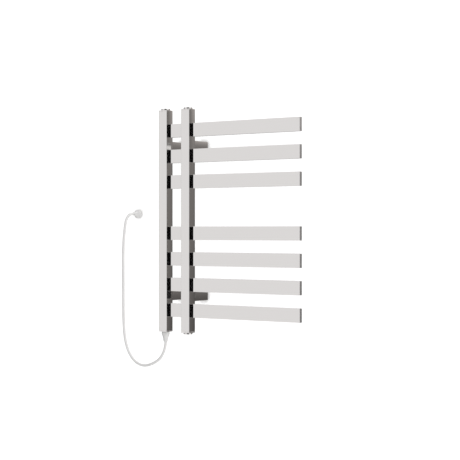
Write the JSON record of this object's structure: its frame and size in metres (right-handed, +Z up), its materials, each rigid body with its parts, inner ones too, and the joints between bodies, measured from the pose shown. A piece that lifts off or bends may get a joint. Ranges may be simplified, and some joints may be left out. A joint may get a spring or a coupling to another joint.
{
  "type": "towel warmer rack",
  "caption": "Wall-hung electric towel warmer: two square posts on standoffs carry flat polished bars reaching right, with a plug-in cord at the foot.",
  "frame": {"origin": "on the wall plane, at the back face of the lower left wall anchor, 6 mm below its screw", "axes": "+X right along the wall, in the way the bars reach; +Y into the wall; +Z up"},
  "size_m": [0.6539, 0.1235, 0.7913],
  "materials": {
    "polished_steel": "mirror polished stainless steel with faint polishing lines",
    "white_moulding": "satin white moulded plastic",
    "cord_sheath": "smooth white flexible sheath",
    "brass": "bright brass",
    "plated_steel": "zinc plated",
    "cast_zinc": "die-cast, satin",
    "silicone_insulation": "matt silicone rubber",
    "terminal_plastic": "matt heat-proof moulding",
    "wiring_sleeve": "woven glass sleeve"
  },
  "bodies": {
    "root": {"post_left": "polished_steel", "post_right": "polished_steel", "end_plate_bottom_left": "polished_steel", "end_plate_bottom_right": "polished_steel", "end_plate_top_left": "polished_steel", "end_plate_top_right": "polished_steel", "post_cap_top_left": "polished_steel", "post_cap_top_right": "polished_steel", "post_cap_bottom_right": "polished_steel", "bar_1": "polished_steel", "bar_end_cap_1": "polished_steel", "heating_loop_1": "silicone_insulation", "bar_2": "polished_steel", "bar_end_cap_2": "polished_steel", "heating_loop_2": "silicone_insulation", "bar_3": "polished_steel", "bar_end_cap_3": "polished_steel", "heating_loop_3": "silicone_insulation", "bar_4": "polished_steel", "bar_end_cap_4": "polished_steel", "heating_loop_4": "silicone_insulation", "bar_5": "polished_steel", "bar_end_cap_5": "polished_steel", "heating_loop_5": "silicone_insulation", "bar_6": "polished_steel", "bar_end_cap_6": "polished_steel", "heating_loop_6": "silicone_insulation", "bar_7": "polished_steel", "bar_end_cap_7": "polished_steel", "heating_loop_7": "silicone_insulation", "standoff_lower_left": "polished_steel", "wall_anchor_lower_left": "cast_zinc", "wall_screw_lower_left": "plated_steel", "grub_screw_lower_left": "plated_steel", "standoff_lower_right": "polished_steel", "wall_anchor_lower_right": "cast_zinc", "wall_screw_lower_right": "plated_steel", "grub_screw_lower_right": "plated_steel", "standoff_upper_left": "polished_steel", "wall_anchor_upper_left": "cast_zinc", "wall_screw_upper_left": "plated_steel", "grub_screw_upper_left": "plated_steel", "standoff_upper_right": "polished_steel", "wall_anchor_upper_right": "cast_zinc", "wall_screw_upper_right": "plated_steel", "grub_screw_upper_right": "plated_steel", "strain_relief": "white_moulding", "strain_relief_nut": "brass", "supply_lead": "wiring_sleeve", "terminal_block": "terminal_plastic", "earth_screw": "brass", "wiring_loom": "wiring_sleeve", "thermal_cutout": "terminal_plastic", "cord": "cord_sheath", "plug_body": "white_moulding", "plug_blade_neutral": "brass", "plug_blade_live": "brass", "plug_earth_pin": "brass"}
  },
  "joints": []
}
